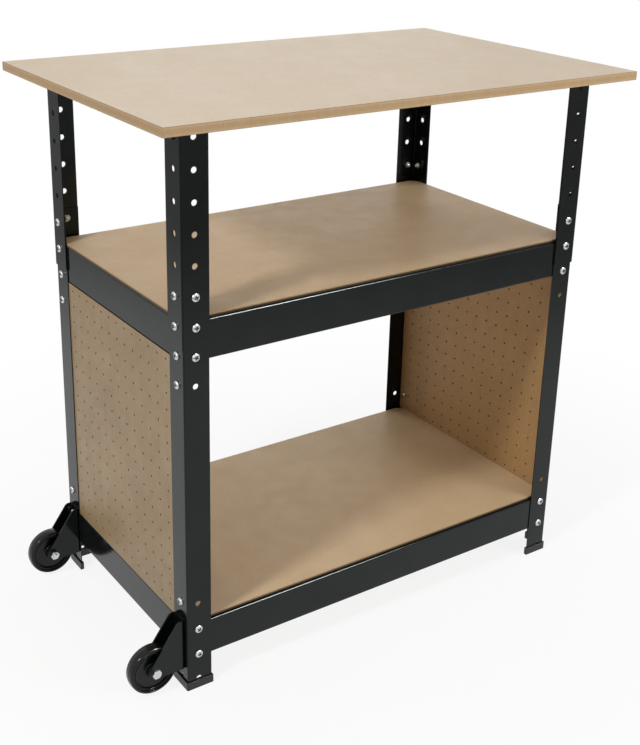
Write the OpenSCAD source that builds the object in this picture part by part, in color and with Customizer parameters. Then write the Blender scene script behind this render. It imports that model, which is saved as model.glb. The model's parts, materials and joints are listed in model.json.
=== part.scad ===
// Three-tier service cart: bolted frame of perforated steel angle, three fibreboard tiers,
// pegboard ends and two tip wheels.
// Millimetres, +Z up. The long open front looks along -Y and the wheels are at the -X end.
// The origin is on the floor, under the middle of the whole cart's box.

/* [Frame] */
// Length of the frame, over the outer faces of its lower posts
frame_l = 714; // [600:2:1000]
// Depth of the frame, over the outer faces of its lower posts
frame_d = 412; // [340:2:600]
// Distance from one hole to the next along a post
hole_pitch = 42.5; // [40:0.5:48]
// Height of the lowest row of holes above the floor
first_hole_z = 15; // [14:0.5:24]
// Distance from a lower post's corner to its lines of holes
hole_line = 18; // [17:0.5:20]
// Diameter of the round holes in posts, beams and brackets
hole_d = 8.5; // [7:0.25:9]
// Row of holes that takes the lower bolts of the lower beams, counted from 0 at the floor
lower_beam_row = 1; // [1:1:3]
// Row of holes that takes the lower bolts of the upper beams
upper_beam_row = 12; // [9:1:14]
// Rows of holes from the upper beams' upper bolts to the top of the upper posts
rows_above_beam = 6; // [4:1:9]

/* [Posts] */
// Width of each leg of a post's angle
leg_w = 39; // [38:0.5:48]
// Thickness of the posts' sheet steel
post_t = 1.5; // [1.2:0.1:2.5]
// Inner radius of the posts' bend
post_bend_r = 1; // [0.5:0.1:1.2]
// Steel past the last row of holes at a post's end
post_end = 15; // [9:0.5:18]
// Length of the upper post below its lowest bolt, where it laps the lower post
lap_below_bolt = 30; // [8:1:32]

/* [Beams] */
// Steel past the bolt rows at a beam's upper and lower edge
beam_edge = 7.25; // [7:0.25:10]
// Thickness of the beams' sheet steel
beam_t = 1.2; // [1:0.1:1.5]
// Inner radius of the beams' bends
beam_bend_r = 1; // [0.5:0.25:2]
// Depth of the top flange that carries a shelf board
top_flange = 22; // [16:1:34]
// Depth of the bottom flange that stiffens a beam
bottom_flange = 12; // [8:1:24]

/* [Boards] */
// Overhang of the top board past the lower posts, on all four sides
top_overhang = 50; // [20:1:90]
// Thickness of the top board
top_t = 13; // [12:0.5:25]
// Corner radius of the top board, seen from above
top_corner_r = 1.5; // [0.5:0.25:6]
// Thickness of a shelf board
shelf_t = 5; // [4:0.5:18]
// Set-back of a shelf board from the front and back beams' outer faces
shelf_set_back = 5; // [4:0.5:9]
// Leg of the clipped corners of a shelf board
shelf_clip = 12; // [8:0.5:20]

/* [Pegboards] */
// Thickness of a pegboard
peg_t = 4; // [3:0.25:6]
// Diameter of the peg holes
peg_hole_d = 3.2; // [2.8:0.1:6]
// Distance between peg holes, along and across
peg_pitch = 25.4; // [20:0.1:32]
// Height of the left panel's lowest row of peg holes above its lower edge
left_peg_start = 18.4; // [5:0.1:24]
// Height of the right panel's lowest row of peg holes above its lower edge
right_peg_start = 11.8; // [5:0.1:24]
// Least margin between a peg hole's middle and a panel's other edges
peg_margin = 5; // [5:0.5:14]

/* [Fasteners] */
// Diameter of the frame bolts
bolt_d = 6; // [5:0.25:6.5]
// Length of a frame bolt under its head
bolt_l = 12; // [12:0.5:16]
// Diameter of a frame bolt's domed head
bolt_head_d = 12; // [10:0.5:12]
// Height of a frame bolt's domed head
bolt_head_h = 3.9; // [3:0.1:4.5]
// Width across the flats of a frame nut
nut_af = 10; // [9:0.5:11]
// Height of a frame nut
nut_h = 5; // [4:0.25:5.5]
// Diameter of the wood screws under the top board
screw_d = 3.5; // [3:0.25:4.5]
// Length of a wood screw under its head
screw_l = 12; // [8:0.5:13]
// Diameter of a wood screw's head
screw_head_d = 7; // [6:0.25:8]

/* [Top brackets] */
// Thickness of the top brackets' steel
bracket_t = 2; // [1.5:0.1:3]
// Length of each leg of a top bracket
bracket_leg = 30; // [28:1:36]
// Width of a top bracket
bracket_w = 30; // [24:1:31]
// Inner radius of a top bracket's bend
bracket_bend_r = 1.5; // [0.5:0.25:3]
// Distance between a top bracket's two wood screws
screw_gap = 16; // [12:1:18]
// Steel between a wood screw's head and the end of its bracket's leg
screw_edge = 3; // [2:0.5:8]

/* [Foot caps] */
// Thickness of the foot caps' walls
cap_wall = 2; // [1.5:0.1:3]
// Thickness of the foot caps' floor
cap_floor = 2.5; // [1.5:0.25:5]
// Height of the foot caps
cap_h = 13; // [10:0.5:15]
// Outer corner radius of the foot caps
cap_corner_r = 2.5; // [1:0.25:4]

/* [Wheels] */
// Diameter of the wheels
wheel_d = 75; // [60:1:80]
// Width of the wheels over the tread
wheel_w = 19.5; // [16:0.5:20]
// Height of the axles above the floor, which keeps the wheels off it until the cart is tipped
axle_z = 44; // [43:0.5:50]
// Distance from the posts' outer faces out to the axles
axle_out = 47; // [47:0.5:56]
// Distance from a post's front or back face in to its wheel's middle
wheel_in = 23; // [21:0.5:24]
// Width of the slot between a wheel bracket's cheeks
fork_w = 24; // [23:0.5:25]
// Thickness of the wheel brackets' steel
fork_t = 2; // [1.5:0.1:3]
// Inner radius of a wheel bracket's bends
fork_bend_r = 1; // [0.5:0.25:1.5]
// Height of a wheel bracket's lower edge above the floor
fork_z = 33; // [32:0.5:33]
// Height of a wheel bracket's upper edge above the lower beams
fork_rise = 7.75; // [4.75:0.25:14.75]
// Width of a cheek at its upper edge
fork_top_w = 14; // [11:0.5:20]
// Radius of a cheek's upper corner
fork_top_r = 8; // [4:0.5:10]
// Diameter of the axle bolts
axle_d = 8; // [6:0.5:9]
// Width across the flats of an axle bolt's head and nut
axle_af = 13; // [12:0.5:14]
// Height of an axle bolt's head
axle_head_h = 5.3; // [4:0.1:6]
// Height of an axle nut
axle_nut_h = 6.5; // [5:0.25:8]
// Length of thread that shows past an axle nut
axle_tail = 2.5; // [1:0.25:6]
// Outer diameter of the steel sleeve that a wheel turns on
sleeve_d = 12; // [11:0.25:13]
// Diameter of a wheel's hub
hub_d = 22; // [18:0.5:26]
// Thickness of a wheel's web
web_t = 8; // [5:0.5:10]
// Width of the rim band, from the tread in to its groove
rim_band = 5; // [4:0.25:6]
// Radius of the tread's rounded shoulders
tread_r = 3.5; // [1.5:0.25:4]
// Width of the groove inside the rim band
groove_w = 2.6; // [2:0.1:4]
// Depth of that groove below the rim band
groove_deep = 2.8; // [2:0.1:4]
// Width of the raised ring inside the groove
ring_w = 1.5; // [1:0.1:2.5]
// Depth of the raised ring below the rim band
ring_deep = 1.6; // [1:0.1:1.9]
// Size of the slopes and eased edges around the hub boss
hub_edge = 0.8; // [0.4:0.1:1.2]

/* [Clearances] */
// Gap left between pieces that are pushed together without a fit
fit_gap = 0.3; // [0.2:0.05:0.5]
// Gap all round a post in its foot cap
cap_fit = 0.15; // [0.1:0.05:0.3]
// Gap between a wheel's hub and each cheek
hub_gap = 0.4; // [0.2:0.05:0.8]
// Radial running clearance of a wheel on its sleeve
wheel_fit = 0.06; // [0.03:0.01:0.1]
// Radial clearance of an axle bolt in its cheeks and sleeve
axle_fit = 0.15; // [0.1:0.05:0.3]
// Radial clearance of a wood screw in its pilot hole
screw_fit = 0.05; // [0.02:0.01:0.1]
// Radial clearance of a wood screw in its top bracket
bracket_fit = 0.1; // [0.05:0.05:0.3]
// Radial gap between a bolt and its nut, in which the two threads would run
thread_fit = 0.05; // [0.02:0.01:0.1]

/* [Hidden] */

// Fineness of round pieces: large ones, and small holes and fasteners
$fn = 64;
small_fn = 24;
// Overshoot of every cut past the face that it opens
cut = 1;

// Shares of a domed head's height and diameter: its straight rim, its cross recess and the recess's arms
head_rim = 0.35;
recess_span = 0.5;
recess_arm = 0.1;
// Turned round on top of a hexagon head: its height, and how far it stands inside the flats
hexagon_turn_h = 0.4;
hexagon_turn_in = 0.3;
// A wood screw's head height as a share of its head's diameter, and its point as a share of its shank's
screw_head_share = 0.35;
screw_tip_share = 0.8;

left = -1;
right = 1;
front = -1;
back = 1;
sides = [left, right];
ends = [front, back];

// Rows of holes: the pegboards' bolts, the splice and the top brackets' bolts
panel_low_row = lower_beam_row + 2;
panel_high_row = upper_beam_row - 1;
lap_row = upper_beam_row + 1;
splice_row = lap_row + 1;
top_row = lap_row + rows_above_beam;
lower_post_rows = [for (n = [0:splice_row]) if (n <= panel_low_row || n >= panel_high_row) n];
upper_post_rows = [for (n = [lap_row:top_row]) n];

function row_z(n) = first_hole_z + n * hole_pitch;

lower_post_top = row_z(splice_row) + post_end;
upper_post_bottom = row_z(lap_row) - lap_below_bolt;
top_z = row_z(top_row) + post_end;

beam_h = hole_pitch + 2 * beam_edge;
lower_beam_z = row_z(lower_beam_row) - beam_edge;
upper_beam_z = row_z(upper_beam_row) - beam_edge;
lower_shelf_z = lower_beam_z + beam_h;
upper_shelf_z = upper_beam_z + beam_h;

// The shelf boards end at the posts, and the lower one inside the pegboards, which stand on the side beams
upper_board_gap = post_t + fit_gap;
lower_board_gap = post_t + peg_t + fit_gap;
peg_z = lower_shelf_z + fit_gap;
peg_h = upper_beam_z - fit_gap - peg_z;
peg_w = frame_d - 2 * (post_t + post_bend_r + fit_gap);

board_l = frame_l + 2 * top_overhang;
board_d = frame_d + 2 * top_overhang;

// The wheels reach past the top board, so the frame stands off the box's middle by this much along X
wheel_reach = frame_l / 2 + axle_out + wheel_d / 2;
frame_x = (max(wheel_reach, board_l / 2) - board_l / 2) / 2;

// Wheel bracket: height of its upper edge, width over its cheeks, and the round end of a cheek about its axle
fork_top_z = lower_shelf_z + fork_rise;
fork_over = fork_w + 2 * fork_t;
fork_nose_r = axle_z - fork_z;
hub_w = fork_w - 2 * hub_gap;
axle_l = fork_over + axle_nut_h + axle_tail;

// Distance from a post's side face in to the wood screws
screw_out = bracket_leg - screw_edge - screw_head_d / 2;

black = "#232526";
plastic_black = "#17181a";
zinc = "#c9ccd0";
board_colour = "#cdb896";
peg_colour = "#96795a";

// Shared shapes

// Puts a piece into the cart's frame, which stands off the origin along X
module in_frame() {
    translate([frame_x, 0, 0]) children();
}

// Copies a corner's piece, drawn for the back right post, to the corner that is named
module at_corner(side, end) {
    translate([side * frame_l / 2, end * frame_d / 2, 0])
        mirror([side == left ? 1 : 0, 0, 0])
        mirror([0, end == front ? 1 : 0, 0])
        children();
}

// Points of an arc, for outlines
function arc(centre, r, from, to, steps = 6) =
    [for (i = [0:steps]) let (a = from + (to - from) * i / steps) centre + r * [cos(a), sin(a)]];

// A square corner's waste outside its round, with the corner at the origin and the piece towards +X and +Y
module corner_waste(r) {
    difference() {
        translate([-cut, -cut]) square(r + cut);
        translate([r, r]) circle(r);
    }
}

// An angle with a bent corner at the origin and its legs along -X and -Y; inner_r is the bend's inner radius
module angle_outline(leg_x, leg_y, t, inner_r) {
    mirror([1, 0]) mirror([0, 1]) difference() {
        square([leg_x, leg_y]);
        corner_waste(inner_r + t);
        difference() {
            translate([t, t]) square([leg_x, leg_y]);
            translate([t, t]) corner_waste(inner_r);
        }
    }
}

// A round hole through each leg of a post at one row; out is how far its faces stand off the lower post's
module row_holes(z, out) {
    deep = post_t + 2 * cut;
    translate([-hole_line, out + cut, z]) rotate([90, 0, 0]) cylinder(d = hole_d, h = deep, $fn = small_fn);
    translate([out + cut, -hole_line, z]) rotate([0, -90, 0]) cylinder(d = hole_d, h = deep, $fn = small_fn);
}

// Boards

module top_board() {
    color(board_colour) in_frame() difference() {
        translate([-board_l / 2, -board_d / 2, top_z]) cube([board_l, board_d, top_t]);
        for (side = sides, end = ends) translate([side * board_l / 2, end * board_d / 2, top_z - cut])
            mirror([side == right ? 1 : 0, 0, 0])
            mirror([0, end == back ? 1 : 0, 0])
            linear_extrude(top_t + 2 * cut) corner_waste(top_corner_r);
        each_wood_screw() translate([0, 0, -cut])
            cylinder(r = screw_d / 2 + screw_fit, h = screw_l - bracket_t + fit_gap + cut, $fn = small_fn);
    }
}

// A shelf board lies on the beams' top flanges, set back from their faces at front and back;
// end_gap is its distance from the posts' outer side faces
module shelf_board(z, end_gap) {
    half_l = frame_l / 2 - end_gap;
    half_d = frame_d / 2 - post_t - shelf_set_back;
    color(board_colour) in_frame() translate([0, 0, z]) linear_extrude(shelf_t) polygon([
        [-half_l + shelf_clip, -half_d], [half_l - shelf_clip, -half_d],
        [half_l, -half_d + shelf_clip], [half_l, half_d - shelf_clip],
        [half_l - shelf_clip, half_d], [-half_l + shelf_clip, half_d],
        [-half_l, half_d - shelf_clip], [-half_l, -half_d + shelf_clip]
    ]);
}

// A pegboard stands inside an end's two posts, between the lower and the upper side beam
module pegboard(side, start) {
    columns = floor((peg_w / 2 - peg_margin) / peg_pitch);
    rows = floor((peg_h - start - peg_margin) / peg_pitch);
    color(peg_colour) in_frame()
        translate([side * (frame_l / 2 - post_t), 0, 0])
        mirror([side == right ? 1 : 0, 0, 0])
        difference() {
            translate([0, 0, peg_z]) rotate([90, 0, 90]) linear_extrude(peg_t) difference() {
                translate([-peg_w / 2, 0]) square([peg_w, peg_h]);
                for (i = [-columns:columns], j = [0:rows])
                    translate([i * peg_pitch, start + j * peg_pitch]) circle(d = peg_hole_d, $fn = small_fn);
            }
            for (end = ends, n = [panel_low_row, panel_high_row])
                translate([-cut, end * (frame_d / 2 - hole_line), row_z(n)])
                rotate([0, 90, 0]) cylinder(d = hole_d, h = peg_t + 2 * cut, $fn = small_fn);
        }
}

// Posts

module lower_post(side, end) {
    color(black) in_frame() at_corner(side, end) difference() {
        translate([0, 0, cap_floor]) linear_extrude(lower_post_top - cap_floor)
            angle_outline(leg_w, leg_w, post_t, post_bend_r);
        for (n = lower_post_rows) row_holes(row_z(n), 0);
    }
}

// The upper post laps the lower one from outside, so its legs reach one sheet further out
module upper_post(side, end) {
    color(black) in_frame() at_corner(side, end) difference() {
        translate([post_t, post_t, upper_post_bottom]) linear_extrude(top_z - upper_post_bottom)
            angle_outline(leg_w + post_t, leg_w + post_t, post_t, post_bend_r);
        for (n = upper_post_rows) row_holes(row_z(n), post_t);
    }
}

// Beams

// A beam's section: the web stands on the Y axis with its outer face at X = 0 and the flanges run to +X
module beam_outline(flange_top, flange_bottom) {
    outer_r = beam_bend_r + beam_t;
    difference() {
        square([max(flange_top, flange_bottom), beam_h]);
        corner_waste(outer_r);
        translate([0, beam_h]) mirror([0, 1]) corner_waste(outer_r);
        difference() {
            translate([beam_t, beam_t]) square([top_flange + bottom_flange, beam_h - 2 * beam_t]);
            translate([beam_t, beam_t]) corner_waste(beam_bend_r);
            translate([beam_t, beam_h - beam_t]) mirror([0, 1]) corner_waste(beam_bend_r);
        }
        translate([flange_bottom, -cut]) square([top_flange + cut, beam_h - 2 * beam_t]);
    }
}

// A beam of the given length: outer face on the XZ plane, middle at the origin and flanges to +Y
module beam(length, flange_set_back) {
    notch = max(top_flange, bottom_flange);
    difference() {
        translate([-length / 2, 0, 0]) rotate([90, 0, 90]) linear_extrude(length)
            beam_outline(top_flange, bottom_flange);
        if (flange_set_back > 0) for (m = [0, 1]) mirror([m, 0, 0])
            translate([length / 2 - flange_set_back, beam_t + beam_bend_r, -cut])
            cube([flange_set_back + cut, notch + cut, beam_h + 2 * cut]);
    }
}

// The pair of bolt holes at both ends of a beam; reach is the distance between the two end pairs
module beam_holes(reach) {
    for (x = [-reach / 2, reach / 2], z = [beam_edge, beam_edge + hole_pitch])
        translate([x, beam_t + cut, z]) rotate([90, 0, 0])
        cylinder(d = hole_d, h = beam_t + 2 * cut, $fn = small_fn);
}

// A long beam runs between the posts, its flanges notched back at both ends to clear the side beams
module long_beam(end, z) {
    length = frame_l - 2 * (post_t + post_bend_r + fit_gap);
    notch = top_flange - post_bend_r;
    color(black) in_frame() translate([0, end * (frame_d / 2 - post_t), z])
        mirror([0, end == back ? 1 : 0, 0])
        difference() {
            beam(length, notch);
            beam_holes(frame_l - 2 * hole_line);
        }
}

// A side beam stands between the long beams' webs and clears their bends
module side_beam(side, z) {
    length = frame_d - 2 * (post_t + beam_t + beam_bend_r + fit_gap);
    color(black) in_frame() translate([side * (frame_l / 2 - post_t), 0, z])
        mirror([side == right ? 1 : 0, 0, 0])
        rotate([0, 0, -90])
        difference() {
            beam(length, 0);
            beam_holes(frame_d - 2 * hole_line);
        }
}

// Top brackets

// A bent angle inside an upper post's side leg, bolted at the top row and screwed up into the top board
module top_bracket(side, end) {
    color(black) in_frame() at_corner(side, end) difference() {
        translate([0, -hole_line + bracket_w / 2, top_z]) rotate([90, 0, 0]) linear_extrude(bracket_w)
            angle_outline(bracket_leg, bracket_leg, bracket_t, bracket_bend_r);
        translate([cut, -hole_line, row_z(top_row)]) rotate([0, -90, 0])
            cylinder(d = hole_d, h = bracket_t + 2 * cut, $fn = small_fn);
        for (m = [-1, 1]) translate([-screw_out, -hole_line + m * screw_gap / 2, top_z - bracket_t - cut])
            cylinder(r = screw_d / 2 + bracket_fit, h = bracket_t + 2 * cut, $fn = small_fn);
    }
}

// Foot caps

// An angle-shaped cup round the foot of a lower post
module foot_cap(side, end) {
    over = cap_wall + cap_fit;
    leg = leg_w + 2 * over;
    slot = post_t + 2 * cap_fit;
    color(plastic_black) in_frame() at_corner(side, end) difference() {
        translate([over, over, 0]) linear_extrude(cap_h) difference() {
            mirror([1, 0]) mirror([0, 1]) difference() {
                square(leg);
                corner_waste(cap_corner_r);
                translate([slot + 2 * cap_wall, slot + 2 * cap_wall]) square(leg);
            }
        }
        translate([cap_fit, cap_fit, cap_floor]) linear_extrude(cap_h)
            angle_outline(leg_w + 2 * cap_fit, leg_w + 2 * cap_fit, slot, post_bend_r - cap_fit);
    }
}

// Wheels and their brackets

// The angle square to the outer tangent from a circle at a down to a circle at b, on the left of both
function tangent_angle(a, ra, b, rb) = 360 + atan2(b[1] - a[1], b[0] - a[0]) - acos((ra - rb) / norm(b - a));

// Side view of a cheek: the post's face is at X = 0, the floor at Y = 0 and the axle towards -X.
// A round nose about the axle, a straight slope and a rounded upper corner run into each other
module cheek_outline() {
    nose = [-axle_out, axle_z];
    shoulder = [-fork_top_w + fork_top_r, fork_top_z - fork_top_r];
    slope = tangent_angle(shoulder, fork_top_r, nose, fork_nose_r);
    polygon(concat(
        [[0, fork_z]],
        arc(nose, fork_nose_r, 270, slope, 12),
        arc(shoulder, fork_top_r, slope, 90, 8),
        [[0, fork_top_z]]
    ));
}

// Plan of a bracket: a U with its back plate on the Y axis and its cheeks towards -X
module fork_plan() {
    deep = axle_out + fork_nose_r + cut;
    outer_r = fork_bend_r + fork_t;
    difference() {
        translate([-deep, -fork_over / 2]) square([deep, fork_over]);
        for (m = [0, 1]) mirror([0, m]) translate([0, -fork_over / 2]) mirror([1, 0]) corner_waste(outer_r);
        difference() {
            translate([-deep - cut, -fork_w / 2]) square([deep + cut - fork_t, fork_w]);
            for (m = [0, 1]) mirror([0, m])
                translate([-fork_t, -fork_w / 2]) mirror([1, 0]) corner_waste(fork_bend_r);
        }
    }
}

// Puts a wheel's piece, drawn about its axle with the outward side at +Z, on its axle
module at_axle(end) {
    translate([-frame_l / 2 - axle_out, end * (frame_d / 2 - wheel_in), axle_z])
        rotate([end == front ? 90 : -90, 0, 0])
        children();
}

module wheel_bracket(end) {
    color(black) in_frame() difference() {
        translate([-frame_l / 2, end * (frame_d / 2 - wheel_in), 0]) intersection() {
            translate([0, 0, fork_z - cut]) linear_extrude(fork_top_z - fork_z + 2 * cut) fork_plan();
            translate([0, fork_over / 2 + cut, 0]) rotate([90, 0, 0])
                linear_extrude(fork_over + 2 * cut) cheek_outline();
        }
        at_axle(end) translate([0, 0, -fork_over / 2 - cut])
            cylinder(r = axle_d / 2 + axle_fit, h = fork_over + 2 * cut, $fn = small_fn);
        for (n = [lower_beam_row, lower_beam_row + 1])
            translate([-frame_l / 2 + cut, end * (frame_d / 2 - hole_line), row_z(n)])
            rotate([0, -90, 0]) cylinder(d = hole_d, h = fork_t + 2 * cut, $fn = small_fn);
    }
}

// Half of a wheel's turned section, from the bore out to the tread, as [radius, height above its middle]:
// hub boss, dished web, raised ring, groove, rim band and rounded tread shoulder
function wheel_half_points() =
    let (
        half = wheel_w / 2,
        shoulder = wheel_d / 2 - tread_r,
        groove = wheel_d / 2 - rim_band,
        ring = groove - groove_w,
        floor_z = half - groove_deep,
        ring_z = half - ring_deep
    )
    concat(
        [
            [sleeve_d / 2 + wheel_fit, hub_w / 2],
            [hub_d / 2 - hub_edge, hub_w / 2], [hub_d / 2, hub_w / 2 - hub_edge],
            [hub_d / 2 + hub_edge, web_t / 2 + hub_edge], [hub_d / 2 + 2 * hub_edge, web_t / 2],
            [ring - 2 * ring_w - hub_edge, web_t / 2 + hub_edge],
            [ring - 2 * ring_w, ring_z], [ring - ring_w, ring_z],
            [ring, floor_z], [groove - hub_edge, floor_z], [groove, half]
        ],
        arc([shoulder, half - tread_r], tread_r, 90, 0)
    );

module wheel(end) {
    points = wheel_half_points();
    count = len(points);
    color(plastic_black) in_frame() at_axle(end) rotate_extrude()
        polygon(concat(points, [for (i = [1:count]) [points[count - i][0], -points[count - i][1]]]));
}

// A hexagon with flats towards +Y and -Y
module hexagon(across_flats) {
    circle(d = across_flats / cos(30), $fn = 6);
}

module axle_bolt(end) {
    color(zinc) in_frame() at_axle(end) {
        translate([0, 0, fork_over / 2]) difference() {
            linear_extrude(axle_head_h) hexagon(axle_af);
            translate([0, 0, axle_head_h - hexagon_turn_h]) linear_extrude(cut) difference() {
                circle(axle_af);
                circle(axle_af / 2 - hexagon_turn_in);
            }
        }
        translate([0, 0, fork_over / 2 - axle_l]) cylinder(d = axle_d, h = axle_l, $fn = small_fn);
    }
}

module axle_nut(end) {
    color(zinc) in_frame() at_axle(end) translate([0, 0, -fork_over / 2 - axle_nut_h])
        linear_extrude(axle_nut_h) difference() {
            hexagon(axle_af);
            circle(r = axle_d / 2 + thread_fit, $fn = small_fn);
        }
}

module axle_sleeve(end) {
    color(zinc) in_frame() at_axle(end) linear_extrude(fork_w, center = true) difference() {
        circle(d = sleeve_d);
        circle(r = axle_d / 2 + axle_fit);
    }
}

// Frame bolts and nuts

// A cross-recessed domed bolt: the head sits on Z = 0 and the shank runs down
module frame_bolt() {
    rim = bolt_head_h * head_rim;
    dome = bolt_head_h - rim;
    span = bolt_head_d * recess_span;
    arm = bolt_head_d * recess_arm;
    difference() {
        union() {
            rotate_extrude($fn = small_fn) polygon(concat(
                [[0, 0], [bolt_head_d / 2, 0], [bolt_head_d / 2, rim]],
                arc([bolt_head_d / 2 - dome, rim], dome, 15, 90, 4),
                [[0, bolt_head_h]]
            ));
            translate([0, 0, -bolt_l]) cylinder(d = bolt_d, h = bolt_l + cut, $fn = small_fn);
        }
        for (a = [0, 90]) rotate(a) translate([-span / 2, -arm / 2, bolt_head_h / 2])
            cube([span, arm, bolt_head_h]);
    }
}

module frame_nut() {
    linear_extrude(nut_h) difference() {
        hexagon(nut_af);
        circle(r = bolt_d / 2 + thread_fit, $fn = small_fn);
    }
}

// Puts a bolt's piece at a row of the corner post's front or back leg, with Z pointing out of the cart;
// out is the distance from the lower post's face
module on_long_leg(side, end, n, out) {
    in_frame() at_corner(side, end) translate([-hole_line, out, row_z(n)]) rotate([-90, 0, 0]) children();
}

// The same at a row of the corner post's side leg, turned so that a nut's flats face up and down here too
module on_side_leg(side, end, n, out) {
    in_frame() at_corner(side, end) translate([out, -hole_line, row_z(n)])
        rotate([0, 90, 0]) rotate(90) children();
}

module splice_bolts() {
    color(zinc) for (side = sides, end = ends) {
        on_long_leg(side, end, splice_row, post_t) frame_bolt();
        on_side_leg(side, end, splice_row, post_t) frame_bolt();
    }
}

module splice_nuts() {
    color(zinc) for (side = sides, end = ends) {
        on_long_leg(side, end, splice_row, -post_t - nut_h) frame_nut();
        on_side_leg(side, end, splice_row, -post_t - nut_h) frame_nut();
    }
}

// The upper bolt of an upper beam also holds the upper post's lap
module upper_beam_bolts() {
    color(zinc) for (side = sides, end = ends, n = [upper_beam_row, lap_row]) {
        on_long_leg(side, end, n, n == lap_row ? post_t : 0) frame_bolt();
        on_side_leg(side, end, n, n == lap_row ? post_t : 0) frame_bolt();
    }
}

module upper_beam_nuts() {
    color(zinc) for (side = sides, end = ends, n = [upper_beam_row, lap_row]) {
        on_long_leg(side, end, n, -post_t - beam_t - nut_h) frame_nut();
        on_side_leg(side, end, n, -post_t - beam_t - nut_h) frame_nut();
    }
}

// At the wheels' end the side bolts also hold the wheel brackets
module lower_beam_bolts() {
    color(zinc) for (side = sides, end = ends, n = [lower_beam_row, lower_beam_row + 1]) {
        on_long_leg(side, end, n, 0) frame_bolt();
        on_side_leg(side, end, n, side == left ? fork_t : 0) frame_bolt();
    }
}

module lower_beam_nuts() {
    color(zinc) for (side = sides, end = ends, n = [lower_beam_row, lower_beam_row + 1]) {
        on_long_leg(side, end, n, -post_t - beam_t - nut_h) frame_nut();
        on_side_leg(side, end, n, -post_t - beam_t - nut_h) frame_nut();
    }
}

module pegboard_bolts() {
    color(zinc) for (side = sides, end = ends, n = [panel_low_row, panel_high_row])
        on_side_leg(side, end, n, 0) frame_bolt();
}

module pegboard_nuts() {
    color(zinc) for (side = sides, end = ends, n = [panel_low_row, panel_high_row])
        on_side_leg(side, end, n, -post_t - peg_t - nut_h) frame_nut();
}

module top_bracket_bolts() {
    color(plastic_black) for (side = sides, end = ends)
        on_side_leg(side, end, top_row, post_t) frame_bolt();
}

module top_bracket_nuts() {
    color(zinc) for (side = sides, end = ends)
        on_side_leg(side, end, top_row, -bracket_t - nut_h) frame_nut();
}

// Repeats a piece at every wood screw, with the top board's underside at Z = 0
module each_wood_screw() {
    for (side = sides, end = ends, m = [-1, 1])
        at_corner(side, end) translate([-screw_out, -hole_line + m * screw_gap / 2, top_z]) children();
}

// A wood screw goes up through a top bracket: a low domed head, a shank and a point
module wood_screws() {
    head_h = screw_head_d * screw_head_share;
    tip = screw_d * screw_tip_share;
    color(zinc) in_frame() each_wood_screw() translate([0, 0, -bracket_t])
        rotate_extrude($fn = small_fn) polygon([
            [0, -head_h], [screw_head_d / 3, -head_h], [screw_head_d / 2, -head_h / 2], [screw_head_d / 2, 0],
            [screw_d / 2, 0], [screw_d / 2, screw_l - tip], [0, screw_l]
        ]);
}

top_board();
shelf_board(upper_shelf_z, upper_board_gap);  // upper_shelf_board
shelf_board(lower_shelf_z, lower_board_gap);  // lower_shelf_board
pegboard(left, left_peg_start);  // left_pegboard
pegboard(right, right_peg_start);  // right_pegboard
lower_post(left, front);  // lower_post_front_left
lower_post(right, front);  // lower_post_front_right
lower_post(left, back);  // lower_post_back_left
lower_post(right, back);  // lower_post_back_right
upper_post(left, front);  // upper_post_front_left
upper_post(right, front);  // upper_post_front_right
upper_post(left, back);  // upper_post_back_left
upper_post(right, back);  // upper_post_back_right
long_beam(front, upper_beam_z);  // upper_front_beam
long_beam(back, upper_beam_z);  // upper_back_beam
side_beam(left, upper_beam_z);  // upper_left_beam
side_beam(right, upper_beam_z);  // upper_right_beam
long_beam(front, lower_beam_z);  // lower_front_beam
long_beam(back, lower_beam_z);  // lower_back_beam
side_beam(left, lower_beam_z);  // lower_left_beam
side_beam(right, lower_beam_z);  // lower_right_beam
top_bracket(left, front);  // top_bracket_front_left
top_bracket(right, front);  // top_bracket_front_right
top_bracket(left, back);  // top_bracket_back_left
top_bracket(right, back);  // top_bracket_back_right
foot_cap(left, front);  // foot_cap_front_left
foot_cap(right, front);  // foot_cap_front_right
foot_cap(left, back);  // foot_cap_back_left
foot_cap(right, back);  // foot_cap_back_right
wheel_bracket(front);  // front_wheel_bracket
wheel_bracket(back);  // back_wheel_bracket
wheel(front);  // front_wheel
wheel(back);  // back_wheel
axle_bolt(front);  // front_axle_bolt
axle_bolt(back);  // back_axle_bolt
axle_nut(front);  // front_axle_nut
axle_nut(back);  // back_axle_nut
axle_sleeve(front);  // front_axle_sleeve
axle_sleeve(back);  // back_axle_sleeve
splice_bolts();
splice_nuts();
upper_beam_bolts();
upper_beam_nuts();
lower_beam_bolts();
lower_beam_nuts();
pegboard_bolts();
pegboard_nuts();
top_bracket_bolts();
top_bracket_nuts();
wood_screws();
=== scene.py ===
"""Looks of the three-tier service cart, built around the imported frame.

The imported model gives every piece's place. Boards, panels, wheels and fasteners are made again as finer
surfaces, the folded steel gets eased edges, and each surface gets its finish. Sizes are in millimetres
until a surface becomes a mesh, which is in metres, as the studio is.
"""

from __future__ import annotations

import json
import logging
import math
from dataclasses import dataclass
from enum import Enum
from itertools import product
from typing import Sequence

import bmesh
import bpy
import numpy as np
from mathutils import Matrix, Vector

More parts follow.
